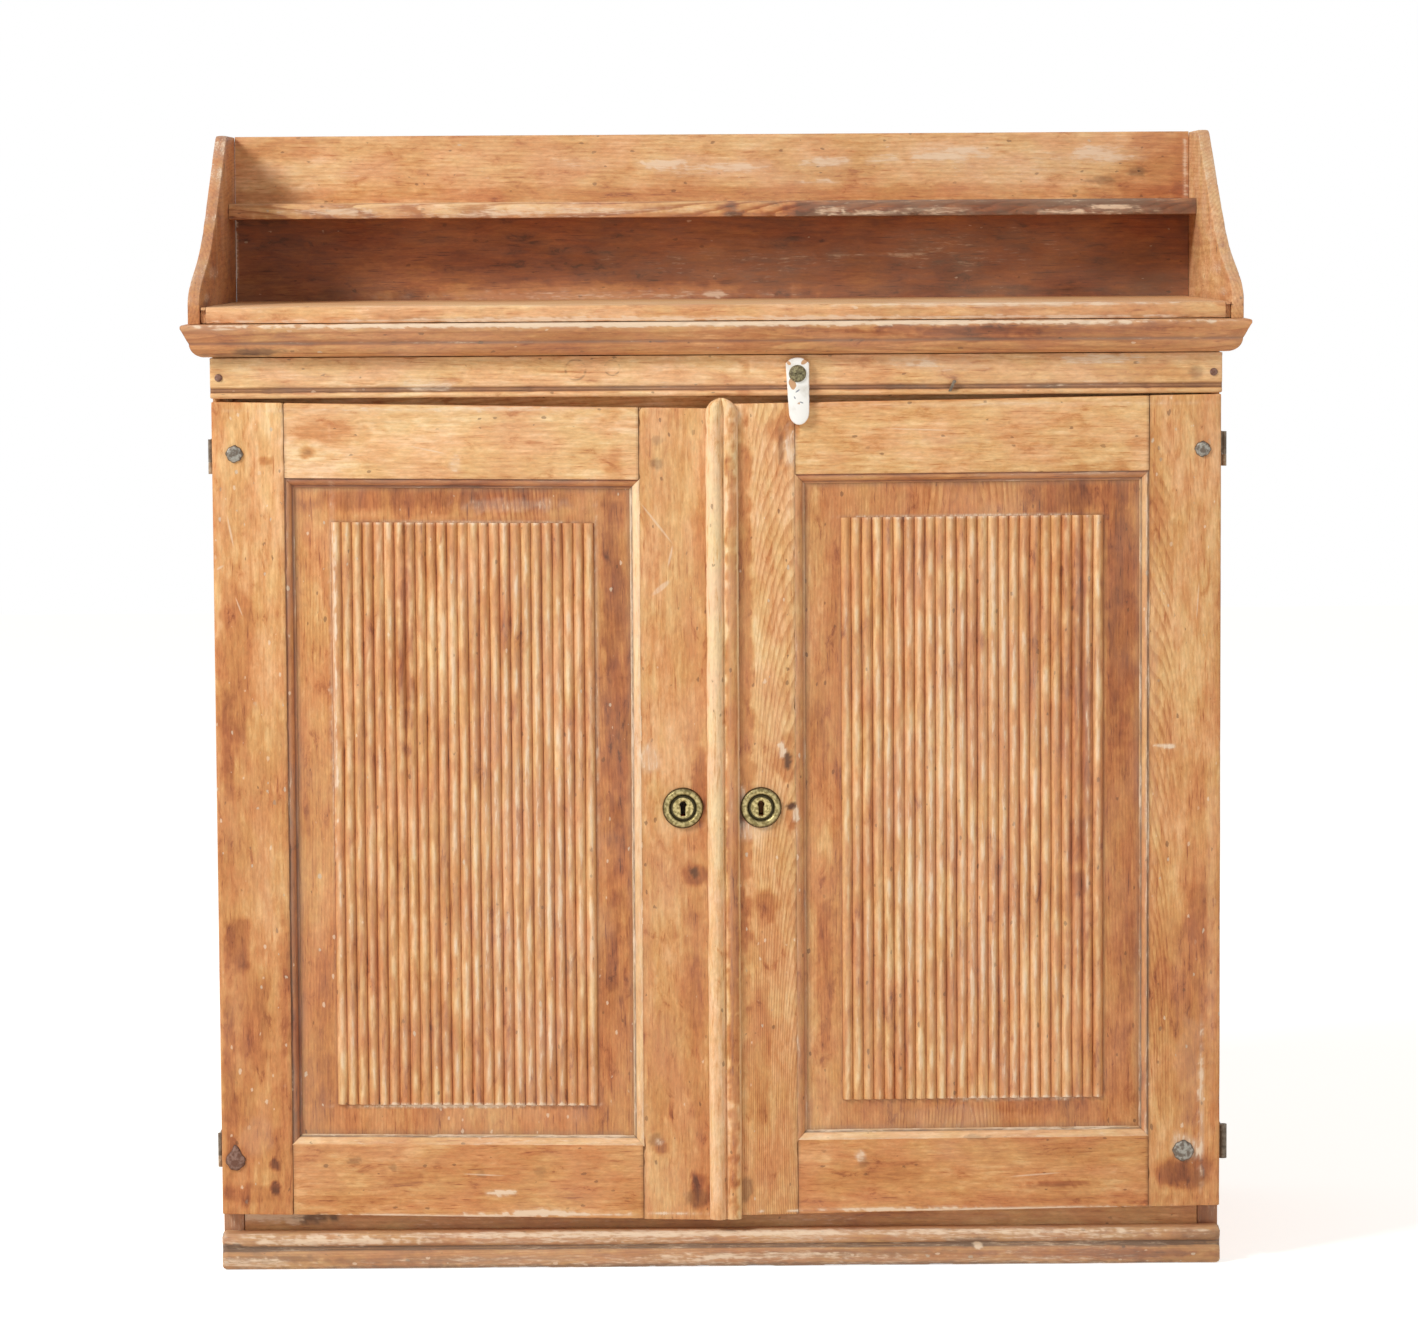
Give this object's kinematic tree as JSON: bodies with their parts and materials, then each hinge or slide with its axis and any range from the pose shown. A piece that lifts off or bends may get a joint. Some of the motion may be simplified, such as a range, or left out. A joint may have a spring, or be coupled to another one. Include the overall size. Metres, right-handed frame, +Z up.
{
  "type": "buffet cabinet",
  "caption": "Free-standing pine buffet cabinet with reeded frame-and-panel doors, an inner shelf, a moulded cornice and plinth, and an open gallery with a narrow shelf on top.",
  "frame": {"origin": "centre of the bounding box on the floor, under the middle of the cabinet", "axes": "+X to the cabinet's left-to-right as seen from the front, +Y from the doors to the back, +Z up"},
  "size_m": [1.1066, 0.477, 1.1948],
  "materials": {
    "pine": "old pine stripped of its paint and lightly waxed, with stain and paint left in the corners",
    "pine_inside": "bare planed pine, unfinished",
    "pine_stained": "pine with a red-brown stain left in it, matt",
    "iron": "wrought iron, worn grey on top and rusty in the corners",
    "brass": "dull old brass, dark in its grooves",
    "white_paint": "wood with chipped white gloss paint"
  },
  "bodies": {
    "carcass": {"side_panel_left": "pine", "side_panel_right": "pine", "case_top": "pine_inside", "case_floor": "pine_inside", "bottom_rail": "pine_stained", "head_rail": "pine_inside", "back_board_1": "pine_inside", "back_board_2": "pine_inside", "back_board_3": "pine_inside", "back_board_4": "pine_inside", "centre_post": "pine_inside", "inner_shelf": "pine_inside", "shelf_cleat_left": "pine_inside", "shelf_cleat_right": "pine_inside", "shelf_cleat_back": "pine_inside", "frieze_board": "pine", "frieze_nail_left": "iron", "frieze_nail_right": "iron", "bent_nail": "iron", "cornice_front": "pine", "cornice_return_left": "pine", "cornice_return_right": "pine", "plinth": "pine", "gallery_floor": "pine", "gallery_side_left": "pine", "gallery_side_right": "pine", "gallery_back": "pine_stained", "gallery_shelf": "pine", "left_upper_hinge_pintle": "iron", "left_lower_hinge_pintle": "iron", "right_upper_hinge_pintle": "iron", "right_lower_hinge_pintle": "iron", "turn_button_screw": "iron"},
    "left_door": {"left_door_hinge_stile": "pine", "left_door_lock_stile": "pine", "left_door_top_rail": "pine", "left_door_bottom_rail": "pine", "left_door_panel": "pine", "left_escutcheon": "brass", "left_lock_case": "iron", "left_upper_hinge_leaf": "iron", "left_upper_hinge_rivet": "iron", "left_lower_hinge_leaf": "iron", "left_lower_hinge_rivet": "iron"},
    "right_door": {"right_door_hinge_stile": "pine", "right_door_lock_stile": "pine", "right_door_top_rail": "pine", "right_door_bottom_rail": "pine", "right_door_panel": "pine", "right_escutcheon": "brass", "right_lock_case": "iron", "right_upper_hinge_leaf": "iron", "right_upper_hinge_rivet": "iron", "right_lower_hinge_leaf": "iron", "right_lower_hinge_rivet": "iron", "astragal": "pine"},
    "turn_button": {"turn_button": "white_paint"},
    "left_lock_bolt": {"left_lock_bolt": "iron"},
    "right_lock_bolt": {"right_lock_bolt": "iron"}
  },
  "joints": [
    {"name": "left_door_hinge", "type": "hinge", "parent": "carcass", "child": "left_door", "pos_m": [-0.5272, -0.19, 0.49], "axis": [0, 0, -1], "range_deg": [0, 180]},
    {"name": "right_door_hinge", "type": "hinge", "parent": "carcass", "child": "right_door", "pos_m": [0.5293, -0.19, 0.49], "axis": [0, 0, 1], "range_deg": [0, 180]},
    {"name": "turn_button_pivot", "type": "hinge", "parent": "carcass", "child": "turn_button", "pos_m": [0.084, -0.2145, 0.939], "axis": [0, 1, 0], "range_deg": [-90, 90]},
    {"name": "left_lock_bolt_slide", "type": "slide", "parent": "left_door", "child": "left_lock_bolt", "axis": [1, 0, 0], "range_m": [0, 0.01]},
    {"name": "right_lock_bolt_slide", "type": "slide", "parent": "right_door", "child": "right_lock_bolt", "axis": [-1, 0, 0], "range_m": [0, 0.01]}
  ]
}
